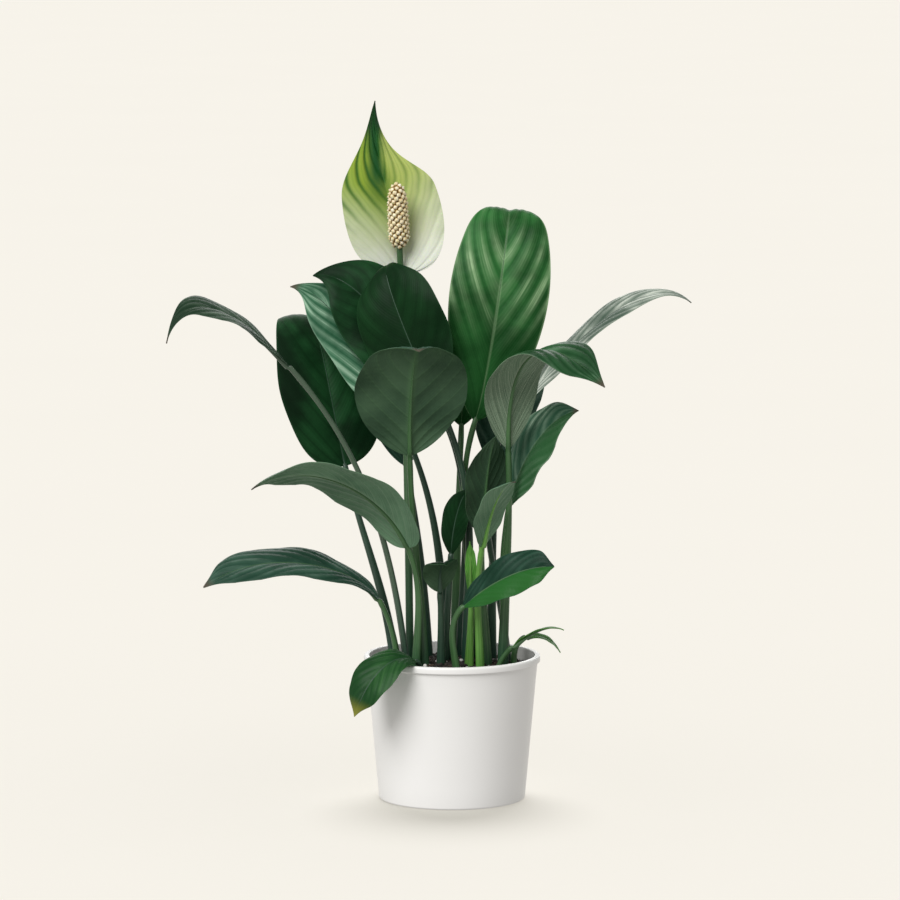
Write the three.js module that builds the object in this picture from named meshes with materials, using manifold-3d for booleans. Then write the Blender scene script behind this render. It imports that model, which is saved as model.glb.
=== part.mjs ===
// A peace lily in its pot: a clump of leaves and one bloom, rooted in the soil of a white tapered
// plastic pot. Millimetres, +Z up, the front towards -Y. The origin is the middle of the pot's
// underside, on the surface that the pot stands on.
import * as THREE from "three";
import { mergeVertices } from "three/addons/utils/BufferGeometryUtils.js";
import Module from "manifold-3d";

// ---------------------------------------------------------------- driving dimensions

const CLEARANCE = 0.3; // between pieces that touch in the real plant

const POT = {
  height: 107,
  footRadius: 54, // outside, at the underside
  rimRadius: 65, // outside, at the lip
  lipHeight: 5,
  lipProud: 1.5, // how far the lip stands out from the wall
  wall: 2.5,
  floor: 3,
  corner: 1.6, // rounding of the foot and of the rim
  chamfer: 0.5, // small breaks of the lip's other edges
  segments: 48,
  drainHoles: 5,
  drainRadius: 3.5,
  drainCircle: 32,
};

const SOIL = {
  edgeHeight: 96, // where the surface meets the wall
  crownRise: 6, // how much higher the middle is
  clod: 1.1, // height of the lumps
  rings: 7,
  segments: 32,
};

const FOOT_DEPTH = 80; // height of the stalks' buried ends
const HOLE_TOP = 155; // sections of a stalk above this don't shape its hole in the soil

const STALK = {
  footWide: 4.5, // half the width of the sheath at the foot
  footDeep: 2.8,
  topRadius: 1.9, // where the blade begins
  ribEnd: 0.7, // radius where the midrib fades out
  ribReach: 0.62, // share of the blade that the raised midrib follows
  ribSunk: 0.85, // how far the midrib hangs below the blade, in its own radii
  wrap: 1.3, // how soon the stalk widens into its sheath; higher is closer to the foot
  carry: 0.35, // how far the stalk keeps the blade's direction, as a share of its length
  spread: 0.12, // how far it has left its foot sideways where it leaves the crown
  rise: 0.4, // height of that point, as a share of its length
  panel: 34, // length of a panel
  sides: 6,
};

const BLADE = {
  thick: 0.9,
  fold: 16, // degrees that each half rises from the midrib
  curl: 30, // degrees that each half bends back down towards its margin
  wave: 1.6, // height of the margin's waves
  waves: 2.6, // waves from base to tip
  across: 4, // panels across the blade
  panel: 15, // length of a panel
  panelCount: [6, 10], // fewest and most panels along a blade
  tipHalf: 0.45, // half the width of the tip's end
  fullWave: 60, // a blade this wide or wider waves in full
  skew: 0, // how much wider the left half is than the right one, near the tip
};

// The outline's half width at a share v of the length is v^swell (1 - v)^close, narrowed
// beyond tailFrom into a drawn-out tip.
const LEAF_OUTLINE = { swell: 0.72, close: 0.7, tailFrom: 0.74, tail: 0.2 };
const OVAL_OUTLINE = { swell: 0.42, close: 0.62, tailFrom: 0.8, tail: 0.2 };
const BLUNT_OUTLINE = { swell: 0.7, close: 0.5, tailFrom: 0.84, tail: 0.12 };
const SLIM_OUTLINE = { swell: 0.95, close: 0.95, tailFrom: 0.62, tail: 0.2 };
const SPATHE_OUTLINE = { swell: 0.3, close: 0.62, tailFrom: 0.42, tail: 0.3 };

// Each leaf: where its stalk leaves the crown (x, y), the four points that bend its midrib (base,
// two pulling points, tip), its width, and the roll of its blade about the midrib at base and tip.
// A blade that isn't of the usual outline names its own.
const LEAVES = [
  {
    name: "leaf_lower_left",
    foot: [-38, -19],
    midrib: [[-53, -22, 150], [-68, -26, 178], [-140, -42, 196], [-181, -50, 164]],
    width: 42,
    roll: [-24, -20],
    outline: BLUNT_OUTLINE,
  },
  {
    name: "leaf_far_left",
    foot: [-31, -10],
    midrib: [[-118, -16, 321], [-160, -26, 370], [-198, -37, 386], [-207, -46, 342]],
    width: 42,
    roll: [-18, -26],
    outline: SLIM_OUTLINE,
  },
  {
    name: "leaf_mid_left",
    foot: [-27, -25],
    midrib: [[-32, -30, 190], [-48, -38, 232], [-104, -62, 266], [-145, -74, 239]],
    width: 58,
    roll: [30, 30],
    outline: OVAL_OUTLINE,
  },
  {
    name: "leaf_back_left",
    foot: [-40, -2],
    midrib: [[-79, 30, 243], [-92, 38, 300], [-104, 68, 385], [-113, 98, 335]],
    width: 78,
    roll: [0, 0],
    outline: OVAL_OUTLINE,
  },
  {
    name: "leaf_upper_left",
    foot: [-3, 10],
    midrib: [[-36, 24, 272], [-60, 38, 322], [-95, 48, 378], [-120, 54, 374]],
    width: 50,
    roll: [-60, -60],
  },
  {
    name: "leaf_top_left",
    foot: [7, 18],
    midrib: [[-12, 24, 290], [-42, 35, 342], [-72, 42, 390], [-103, 46, 383]],
    width: 66,
    roll: [-78, -66],
  },
  {
    name: "leaf_top_centre",
    foot: [11, 2],
    midrib: [[-9, 2, 290], [-32, 4, 335], [-58, 17, 400], [-46, 38, 391]],
    width: 70,
    roll: [0, 0],
  },
  {
    name: "leaf_front_centre",
    foot: [-20, -18],
    midrib: [[-31, -22, 257], [-32, -28, 300], [-26, -44, 350], [-24, -66, 338]],
    width: 84,
    roll: [0, 0],
  },
  {
    name: "leaf_top_right",
    foot: [21, 8],
    midrib: [[17, 10, 279], [33, 12, 330], [46, 24, 472], [42, 70, 420]],
    width: 74,
    roll: [0, 0],
  },
  {
    name: "leaf_bent_right",
    foot: [37, -14],
    midrib: [[41, -20, 262], [38, -24, 334], [64, -48, 362], [110, -72, 313]],
    width: 52,
    roll: [-50, 28],
  },
  {
    name: "leaf_far_right",
    foot: [42, 10],
    midrib: [[42, 14, 276], [77, 15, 328], [140, 16, 396], [176, 14, 366]],
    width: 35,
    roll: [20, 20],
  },
  {
    name: "leaf_mid_right",
    foot: [39, -3],
    midrib: [[42, -3, 218], [48, -6, 250], [70, -15, 288], [92, -28, 291]],
    width: 50,
    roll: [62, 52],
  },
  {
    name: "leaf_small_front",
    foot: [21, -27],
    midrib: [[22, -27, 190], [26, -32, 212], [34, -42, 242], [46, -54, 242]],
    width: 32,
    roll: [0, 0],
  },
  {
    name: "leaf_small_middle",
    foot: [27, -12],
    midrib: [[22, -14, 196], [23, -15, 222], [26, -18, 262], [32, -26, 272]],
    width: 38,
    roll: [0, 0],
  },
  {
    name: "leaf_small_back",
    foot: [-6, 0],
    midrib: [[-1, -6, 182], [0, -7, 204], [6, -9, 228], [13, -10, 231]],
    width: 22,
    roll: [70, 70],
  },
  {
    name: "leaf_lower_right",
    foot: [5, -30],
    midrib: [[8, -38, 148], [22, -43, 163], [50, -54, 182], [74, -62, 181]],
    width: 34,
    roll: [58, 58],
    outline: BLUNT_OUTLINE,
  },
  {
    name: "leaf_low_centre",
    foot: [-8, -14],
    midrib: [[-9, -20, 156], [-10, -24, 172], [-8, -36, 186], [-4, -48, 180]],
    width: 27,
    roll: [0, 0],
  },
  {
    name: "leaf_over_rim",
    foot: [-24, -37],
    midrib: [[-26, -46, 109], [-38, -57, 120], [-60, -67, 108], [-71, -69, 72]],
    width: 35,
    roll: [-14, -30],
  },
  {
    name: "leaf_rear_left",
    foot: [-17, 20],
    midrib: [[-34, 52, 240], [-46, 78, 300], [-66, 126, 322], [-80, 150, 280]],
    width: 58,
    roll: [0, 0],
  },
  {
    name: "leaf_rear",
    foot: [2, 27],
    midrib: [[7, 54, 270], [9, 76, 322], [11, 132, 346], [12, 162, 288]],
    width: 60,
    roll: [0, 0],
  },
  {
    name: "leaf_rear_right",
    foot: [29, 20],
    midrib: [[34, 48, 238], [40, 74, 300], [50, 118, 326], [60, 146, 296]],
    width: 54,
    roll: [0, 0],
  },
  {
    name: "shoot_right",
    foot: [30, -20],
    midrib: [[44, -24, 116], [54, -26, 126], [70, -30, 136], [82, -32, 130]],
    width: 9,
    roll: [-20, 0],
  },
  {
    name: "shoot_right_low",
    foot: [46, -13],
    midrib: [[54, -15, 122], [62, -15, 126], [74, -14, 122], [80, -12, 110]],
    width: 8,
    roll: [20, 0],
  },
  {
    name: "shoot_spear",
    foot: [12, -17],
    midrib: [[14, -18, 152], [14, -18, 164], [14, -20, 180], [13, -23, 194]],
    width: 9,
    roll: [0, 0],
  },
];

const BLOOM = {
  foot: [-31, 4],
  node: [-38, 56, 384], // top of the stalk, where the spathe grows
  stipe: 20, // bare stalk between the node and the spadix
  stalkRadius: 2.3,
  footRadius: 3,
  spadixTip: [-41, 49, 452],
  spadixRadius: 7.9,
  floret: 0.6, // how far a floret stands out of the spadix, or a gap lies below it
  spathe: [[-38, 58.4, 383], [-37, 74, 420], [-62, 80, 470], [-57, 66, 511]],
  spatheWidth: 77,
  spatheSkew: 0.22,
  stalkCarry: 0.3, // as STALK.carry and STALK.spread, for the flower stalk
  stalkSpread: 0.1,
  stalkSides: 8,
};

// ---------------------------------------------------------------- solids

const wasm = await Module();
wasm.setup();

const vec = (p) => new THREE.Vector3(...p);
const radians = THREE.MathUtils.degToRad;
const { clamp, lerp, smoothstep } = THREE.MathUtils;

function solidOf(geometry) {
  const bare = new THREE.BufferGeometry();
  bare.setAttribute("position", geometry.getAttribute("position").clone());
  if (geometry.index) bare.setIndex(geometry.index.clone());
  const merged = mergeVertices(bare, 1e-4);
  return new wasm.Manifold(
    new wasm.Mesh({
      numProp: 3,
      vertProperties: new Float32Array(merged.attributes.position.array),
      triVerts: new Uint32Array(merged.index.array),
    }),
  );
}

function geometryOf(solid) {
  const mesh = solid.getMesh();
  const geometry = new THREE.BufferGeometry();
  geometry.setAttribute("position", new THREE.BufferAttribute(mesh.vertProperties, 3));
  geometry.setIndex(new THREE.BufferAttribute(mesh.triVerts, 1));
  geometry.computeVertexNormals();
  return geometry;
}

function closedGeometry(points, triangles) {
  const geometry = new THREE.BufferGeometry().setFromPoints(points);
  geometry.setIndex(triangles);
  return geometry;
}

// Point, tangent, upper side and sideways direction at even steps along a curve. The upper side
// is carried along without spinning, then turned about the curve by roll(share).
function framesAlong(curve, steps, upper, roll = () => 0) {
  const FINE = 8;
  const frames = [];
  const carried = upper.clone();
  for (let i = 0; i <= steps * FINE; i++) {
    const share = i / (steps * FINE);
    const tangent = curve.getTangentAt(share);
    carried.addScaledVector(tangent, -carried.dot(tangent)).normalize();
    if (i % FINE) continue;
    const up = carried.clone().applyAxisAngle(tangent, radians(roll(share)));
    const side = tangent.clone().cross(up);
    frames.push({ share, point: curve.getPointAt(share), tangent, up, side });
  }
  return frames;
}

// A closed tube through a list of sections, each with a centre, two half axes and a frame.
function tubeGeometry(sections, sides) {
  const points = [];
  for (const { centre, side, up, wide, deep } of sections) {
    for (let k = 0; k < sides; k++) {
      const angle = (2 * Math.PI * (k + 0.5)) / sides;
      const point = centre.clone().addScaledVector(side, wide * Math.cos(angle));
      points.push(point.addScaledVector(up, deep * Math.sin(angle)));
    }
  }
  const triangles = [];
  const last = (sections.length - 1) * sides;
  for (let s = 0; s < last; s += sides) {
    for (let k = 0; k < sides; k++) {
      const next = (k + 1) % sides;
      triangles.push(s + k, s + sides + k, s + next);
      triangles.push(s + next, s + sides + k, s + sides + next);
    }
  }
  for (let k = 1; k < sides - 1; k++) {
    triangles.push(0, k, k + 1);
    triangles.push(last, last + k + 1, last + k);
  }
  return closedGeometry(points, triangles);
}

// ---------------------------------------------------------------- pot and soil

function innerRadius(height) {
  const rim = POT.rimRadius - POT.lipProud - POT.wall;
  const foot = POT.footRadius - POT.wall;
  return lerp(foot, rim, height / POT.height);
}

function arc(centreX, centreY, radius, from, to, steps) {
  return Array.from({ length: steps + 1 }, (_, i) => {
    const angle = radians(lerp(from, to, i / steps));
    return new THREE.Vector2(
      centreX + radius * Math.cos(angle),
      centreY + radius * Math.sin(angle),
    );
  });
}

function potSolid() {
  const { height, footRadius, rimRadius, lipHeight, lipProud, corner, chamfer, floor } = POT;
  const lipUnderside = height - lipHeight;
  const underLip = rimRadius - lipProud;
  const rimInside = innerRadius(height);
  const profile = [
    new THREE.Vector2(0, 0),
    ...arc(footRadius - corner, corner, corner, -90, -5, 2),
    new THREE.Vector2(underLip - chamfer, lipUnderside),
    new THREE.Vector2(rimRadius - chamfer, lipUnderside),
    new THREE.Vector2(rimRadius, lipUnderside + chamfer),
    ...arc(rimRadius - corner, height - corner, corner, 0, 90, 3),
    new THREE.Vector2(rimInside + chamfer, height),
    new THREE.Vector2(rimInside, height - chamfer),
    new THREE.Vector2(innerRadius(floor), floor),
    new THREE.Vector2(0, floor),
  ];
  const turned = new THREE.LatheGeometry(profile, POT.segments).rotateX(Math.PI / 2);
  let pot = solidOf(turned);
  for (let i = 0; i < POT.drainHoles; i++) {
    const angle = (2 * Math.PI * i) / POT.drainHoles;
    const drill = new THREE.CylinderGeometry(POT.drainRadius, POT.drainRadius, 3 * floor, 12)
      .rotateX(Math.PI / 2)
      .translate(POT.drainCircle * Math.cos(angle), POT.drainCircle * Math.sin(angle), 0);
    pot = pot.subtract(solidOf(drill));
  }
  return pot;
}

// Height of the soil's surface: a low mound with lumps.
function soilHeight(x, y) {
  const share = Math.hypot(x, y) / innerRadius(SOIL.edgeHeight);
  const mound = SOIL.crownRise * (1 - share * share);
  const lumps = Math.sin(x * 0.31 + 1) * Math.cos(y * 0.27) + 0.6 * Math.sin(x * 0.17 - y * 0.43);
  return SOIL.edgeHeight + mound + SOIL.clod * lumps;
}

function soilSolid() {
  const base = POT.floor + CLEARANCE;
  const { rings, segments } = SOIL;
  const topRadius = innerRadius(SOIL.edgeHeight) - CLEARANCE * 2;
  const baseRadius = innerRadius(base) - CLEARANCE * 2;
  const points = [new THREE.Vector3(0, 0, soilHeight(0, 0)), new THREE.Vector3(0, 0, base)];
  const ring = (radius, height) => {
    for (let k = 0; k < segments; k++) {
      const angle = (2 * Math.PI * k) / segments;
      const x = radius * Math.cos(angle);
      const y = radius * Math.sin(angle);
      points.push(new THREE.Vector3(x, y, height ?? soilHeight(x, y)));
    }
  };
  for (let i = 1; i <= rings; i++) ring((topRadius * i) / rings);
  ring(baseRadius, base);
  const triangles = [];
  const at = (i, k) => 2 + i * segments + (k % segments);
  for (let k = 0; k < segments; k++) {
    triangles.push(0, at(0, k), at(0, k + 1));
    triangles.push(1, at(rings, k + 1), at(rings, k));
    for (let i = 0; i < rings; i++) {
      triangles.push(at(i, k), at(i + 1, k), at(i + 1, k + 1));
      triangles.push(at(i, k), at(i + 1, k + 1), at(i, k + 1));
    }
  }
  return solidOf(closedGeometry(points, triangles));
}

// ---------------------------------------------------------------- leaves

function halfWidth(outline, v) {
  const { swell, close, tailFrom, tail } = outline;
  const widest = swell / (swell + close);
  const full = widest ** swell * (1 - widest) ** close;
  const narrowing = 1 + (Math.max(0, v - tailFrom) / tail) ** 3;
  return (v ** swell * (1 - v) ** close) / full / narrowing;
}

// A thin closed blade along its frames. Each half leaves the midrib at the fold angle and bends
// back by the curl; the margins wave.
function bladeGeometry(frames, shape) {
  const { outline, width, thick, across, fold, curl, wave, waves, phase } = shape;
  const rows = frames.length;
  const columns = across + 1;
  const lift = radians(fold);
  const bend = radians(curl);
  const points = [];
  for (const face of [0.5, -0.5]) {
    for (const { share, point, up, side } of frames) {
      const slimmest = lerp(shape.baseHalf, shape.tipHalf, share);
      const even = Math.max(slimmest, 0.5 * width * halfWidth(outline, share));
      const skew = shape.skew * smoothstep(share, 0.45, 0.75);
      for (let j = 0; j < columns; j++) {
        const u = (2 * j) / across - 1;
        const half = even * (1 - skew * Math.sign(u));
        const turned = bend * Math.abs(u);
        const out = (half * (Math.sin(lift) - Math.sin(lift - turned))) / bend;
        const rise = (half * (Math.cos(lift - turned) - Math.cos(lift))) / bend;
        const ripple =
          wave * Math.abs(u) ** 1.5 * Math.sin(2 * Math.PI * waves * share + phase + u);
        const fade = smoothstep(half, 0, 0.35 * width);
        const corner = point.clone().addScaledVector(side, Math.sign(u) * out);
        points.push(corner.addScaledVector(up, rise + ripple * fade + face * thick));
      }
    }
  }
  const triangles = [];
  const at = (face, i, j) => (face * rows + i) * columns + j;
  const quad = (a, b, c, d) => triangles.push(a, b, c, a, c, d);
  for (let i = 0; i < rows - 1; i++) {
    for (let j = 0; j < across; j++) {
      const corners = [[i, j], [i, j + 1], [i + 1, j + 1], [i + 1, j]];
      if (j >= across / 2) corners.push(corners.shift());
      quad(...corners.map(([a, b]) => at(0, a, b)));
      const [p, q, r, s] = corners.map(([a, b]) => at(1, a, b));
      triangles.push(p, r, q, p, s, r);
    }
    quad(at(0, i, 0), at(0, i + 1, 0), at(1, i + 1, 0), at(1, i, 0));
    quad(at(0, i, across), at(1, i, across), at(1, i + 1, across), at(0, i + 1, across));
  }
  for (let j = 0; j < across; j++) {
    const end = rows - 1;
    quad(at(0, 0, j), at(1, 0, j), at(1, 0, j + 1), at(0, 0, j + 1));
    quad(at(0, end, j), at(0, end, j + 1), at(1, end, j + 1), at(1, end, j));
  }
  return closedGeometry(points, triangles);
}

// The upper side of a blade is the outside of its bend.
function upperSide(curve) {
  const chord = curve.v0.clone().add(curve.v3).multiplyScalar(0.5);
  const bulge = curve.getPointAt(0.5).sub(chord);
  const tangent = curve.getTangentAt(0);
  return bulge.addScaledVector(tangent, -bulge.dot(tangent)).normalize();
}

// The curve of a leaf stalk, from the blade's base down to its buried end.
function stalkCurve(foot, base, tangent) {
  const buried = new THREE.Vector3(foot[0], foot[1], FOOT_DEPTH);
  const reach = base.distanceTo(buried);
  const above = base.clone().addScaledVector(tangent, -STALK.carry * reach);
  const crown = buried.clone().lerp(base, STALK.spread);
  crown.z = buried.z + STALK.rise * reach;
  return new THREE.CubicBezierCurve3(base, above, crown, buried);
}

// Sections of a stalk from its buried end up to the blade, and on as the midrib under it.
function stalkSections(stalk, blade, grow) {
  const sections = [];
  for (const frame of [...stalk].reverse()) {
    const wrap = frame.share ** STALK.wrap;
    sections.push({
      centre: frame.point,
      up: frame.up,
      side: frame.side.clone().negate(),
      wide: lerp(STALK.topRadius, STALK.footWide, wrap) + grow,
      deep: lerp(STALK.topRadius, STALK.footDeep, wrap) + grow,
    });
  }
  for (const frame of blade.slice(1)) {
    if (frame.share > STALK.ribReach) break;
    const radius = lerp(STALK.topRadius, STALK.ribEnd, frame.share / STALK.ribReach) + grow;
    sections.push({
      centre: frame.point.clone().addScaledVector(frame.up, -STALK.ribSunk * radius),
      up: frame.up,
      side: frame.side,
      wide: radius,
      deep: radius,
    });
  }
  return sections;
}

function leafFrames(leaf) {
  const curve = new THREE.CubicBezierCurve3(...leaf.midrib.map(vec));
  const [from, to] = leaf.roll;
  const roll = (share) => lerp(from, to, share);
  const panels = clamp(Math.round(curve.getLength() / BLADE.panel), ...BLADE.panelCount);
  const blade = framesAlong(curve, panels, upperSide(curve), roll);
  const down = stalkCurve(leaf.foot, curve.v0, blade[0].tangent);
  const steps = Math.max(3, Math.round(down.getLength() / STALK.panel));
  const stalk = framesAlong(down, steps, blade[0].up);
  return { blade, stalk };
}

function leafSolid(leaf, index) {
  const { blade, stalk } = leafFrames(leaf);
  const geometry = bladeGeometry(blade, {
    ...BLADE,
    outline: leaf.outline ?? LEAF_OUTLINE,
    width: leaf.width,
    wave: BLADE.wave * Math.min(1, leaf.width / BLADE.fullWave),
    phase: index * 1.7, // so that no two blades wave alike
    baseHalf: STALK.topRadius * 0.9,
  });
  const tube = tubeGeometry(stalkSections(stalk, blade, 0), STALK.sides);
  return solidOf(geometry).add(solidOf(tube));
}

// The plain hole that a stalk stands in: its own buried stretch, a clearance larger all round.
function footHole(stalk) {
  const sections = stalkSections(stalk, [], CLEARANCE / Math.cos(Math.PI / STALK.sides));
  const lowest = sections[0];
  const end = { ...lowest, centre: lowest.centre.clone() };
  end.centre.z -= CLEARANCE;
  const buried = sections.filter(({ centre }) => centre.z < HOLE_TOP);
  return solidOf(tubeGeometry([end, ...buried.slice(1)], STALK.sides));
}

// ---------------------------------------------------------------- bloom

function bloomStalk() {
  const node = vec(BLOOM.node);
  const buried = new THREE.Vector3(...BLOOM.foot, FOOT_DEPTH);
  const tip = vec(BLOOM.spadixTip);
  const axis = tip.clone().sub(node).normalize();
  const top = node.clone().addScaledVector(axis, BLOOM.stipe);
  const reach = node.distanceTo(buried);
  const curve = new THREE.CubicBezierCurve3(
    top,
    top.clone().addScaledVector(axis, -BLOOM.stalkCarry * reach),
    buried.clone().lerp(node, BLOOM.stalkSpread).setZ(buried.z + STALK.rise * reach),
    buried,
  );
  return { curve, axis, top };
}

function bloomStalkSections(grow) {
  const { curve } = bloomStalk();
  return framesAlong(curve, 12, new THREE.Vector3(0, -1, 0))
    .reverse()
    .map(({ point, up, side, share }) => {
      const radius = lerp(BLOOM.stalkRadius, BLOOM.footRadius, share) + grow;
      return { centre: point, up, side: side.negate(), wide: radius, deep: radius };
    });
}

// The spadix is a blunt finger. Its florets are a diamond lattice of bumps all over it.
function spadixSolid() {
  const { axis, top } = bloomStalk();
  const start = top.clone().addScaledVector(axis, CLEARANCE);
  const length = vec(BLOOM.spadixTip).distanceTo(start);
  const rings = 27;
  const sides = 18;
  const isRaised = (i, k) => (i + k) % 2 === 0;
  const side = new THREE.Vector3(1, 0, 0).cross(axis).normalize();
  const other = axis.clone().cross(side);
  const points = [start.clone()];
  for (let i = 0; i <= rings; i++) {
    const share = i / (rings + 1);
    const body = BLOOM.spadixRadius * Math.min(1, 0.6 + 3 * share) * (1 - share ** 7) ** 0.5;
    for (let k = 0; k < sides; k++) {
      const angle = (2 * Math.PI * k) / sides;
      const radius = Math.max(1.5, body + (isRaised(i, k) ? 1 : -1) * BLOOM.floret);
      const point = start.clone().addScaledVector(axis, share * length);
      point.addScaledVector(side, radius * Math.cos(angle));
      points.push(point.addScaledVector(other, radius * Math.sin(angle)));
    }
  }
  const triangles = [];
  const end = points.length;
  points.push(start.clone().addScaledVector(axis, length));
  const at = (i, k) => 1 + i * sides + (k % sides);
  for (let k = 0; k < sides; k++) {
    triangles.push(0, at(0, k + 1), at(0, k));
    triangles.push(end, at(rings, k), at(rings, k + 1));
    for (let i = 0; i < rings; i++) {
      // Each panel is split along its two low corners, so that every floret stands alone.
      const corners = [at(i, k), at(i, k + 1), at(i + 1, k + 1), at(i + 1, k)];
      if (isRaised(i, k)) corners.push(corners.shift());
      const [a, b, c, d] = corners;
      triangles.push(a, b, c, a, c, d);
    }
  }
  return solidOf(closedGeometry(points, triangles));
}

function spatheSolid() {
  const curve = new THREE.CubicBezierCurve3(...BLOOM.spathe.map(vec));
  const frames = framesAlong(curve, 15, new THREE.Vector3(0, -1, 0));
  return solidOf(
    bladeGeometry(frames, {
      ...BLADE,
      outline: SPATHE_OUTLINE,
      width: BLOOM.spatheWidth,
      across: 6,
      fold: 30,
      curl: 24,
      wave: 1.2,
      waves: 1.6,
      phase: 0.5,
      skew: BLOOM.spatheSkew,
      baseHalf: 3,
    }),
  );
}

// ---------------------------------------------------------------- the part

function finish(color, roughness) {
  return new THREE.MeshStandardMaterial({ color, roughness, metalness: 0 });
}

const whitePlastic = finish(0xe9e7e2, 0.4);
const pottingSoil = finish(0x2a211b, 0.95);
const leafGreen = finish(0x1f4a2a, 0.42);
const stalkGreen = finish(0x2f6134, 0.5);
const spatheWhite = finish(0xdfe8cf, 0.5);
const spadixCream = finish(0xe9deb4, 0.7);

const plant = new THREE.Group();

function place(name, solid, material) {
  const mesh = new THREE.Mesh(geometryOf(solid), material);
  mesh.name = name;
  plant.add(mesh);
}

let soil = soilSolid();
LEAVES.forEach((leaf, index) => {
  place(leaf.name, leafSolid(leaf, index), leafGreen);
  soil = soil.subtract(footHole(leafFrames(leaf).stalk));
});

const bloomSides = BLOOM.stalkSides;
const hole = bloomStalkSections(CLEARANCE / Math.cos(Math.PI / bloomSides));
hole[0].centre.z -= CLEARANCE;
soil = soil.subtract(solidOf(tubeGeometry(hole, bloomSides)));

place("flower_stalk", solidOf(tubeGeometry(bloomStalkSections(0), bloomSides)), stalkGreen);
place("spadix", spadixSolid(), spadixCream);
place("spathe", spatheSolid(), spatheWhite);
place("soil", soil, pottingSoil);
place("pot", potSolid(), whitePlastic);

export default plant;
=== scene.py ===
# %% [markdown]
# # A peace lily in a white pot
# A potted peace lily is a clump of thin leaf stalks that rise from one crown in the soil. Each
# stalk carries one glossy, quilted blade, and one taller stalk carries the bloom: a pale hood, the
# spathe, behind a finger of tiny florets, the spadix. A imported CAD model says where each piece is
# and how large it is. Blender adds the fine shape and the finish. Pieces are shaped in millimetres
# and become metres when they are put together.

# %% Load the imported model
import bisect
import random
from math import atan2, copysign, cos, exp, hypot, pi, radians, sin, sqrt

import bmesh
import bpy
from mathutils import Matrix, Vector, noise


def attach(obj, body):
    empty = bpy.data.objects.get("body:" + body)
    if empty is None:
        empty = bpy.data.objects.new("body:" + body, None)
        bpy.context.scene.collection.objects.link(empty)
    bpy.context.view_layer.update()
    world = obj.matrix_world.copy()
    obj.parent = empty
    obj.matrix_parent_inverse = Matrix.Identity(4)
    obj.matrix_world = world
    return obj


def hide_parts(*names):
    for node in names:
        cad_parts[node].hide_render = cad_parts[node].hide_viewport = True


scene = bpy.context.scene
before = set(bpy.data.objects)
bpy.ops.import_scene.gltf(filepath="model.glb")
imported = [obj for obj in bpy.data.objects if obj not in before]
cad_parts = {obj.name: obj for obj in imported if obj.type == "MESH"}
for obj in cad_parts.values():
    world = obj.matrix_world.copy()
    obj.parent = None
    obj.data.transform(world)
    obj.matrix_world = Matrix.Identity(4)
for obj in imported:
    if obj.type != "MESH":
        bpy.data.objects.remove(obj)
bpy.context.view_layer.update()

# %% [markdown]
# ## The camera
# The plant is seen from the front and a little from above, from so far away that hardly any
# perspective shows. A wide lens close by would fill the picture too, but it would swell the leaves
# that lean forward, so a long lens stands four metres away.

# %% Place the camera
PHOTO_SIDE = 900  # pixels
FOCAL_PIXELS = 5446
SENSOR = 36  # millimetres
AIM = Vector((-0.0015, 0, 0.2586))
DISTANCE = 4.0
ELEVATION = radians(7)
FARTHEST = 300  # metres, beyond the far edge of the floor

camera_data = bpy.data.cameras.new("catalogue_camera")
camera_data.sensor_width = SENSOR
camera_data.lens = SENSOR * FOCAL_PIXELS / PHOTO_SIDE
camera_data.clip_end = FARTHEST
camera = bpy.data.objects.new("catalogue_camera", camera_data)
camera.location = AIM + DISTANCE * Vector((0, -cos(ELEVATION), sin(ELEVATION)))
camera.rotation_euler = (radians(90) - ELEVATION, 0, 0)
scene.collection.objects.link(camera)
scene.camera = camera
print("lens", round(camera_data.lens, 1), "mm")

# %% [markdown]
# ## A small kit for node materials
# A leaf's colour, veins and gloss come from one short calculation on its own UV map, where U runs
# across the blade and V runs from its base to its tip. Writing each node out by hand is long, so
# this little class adds one node per call and returns its output, which reads like a sum.


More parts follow.
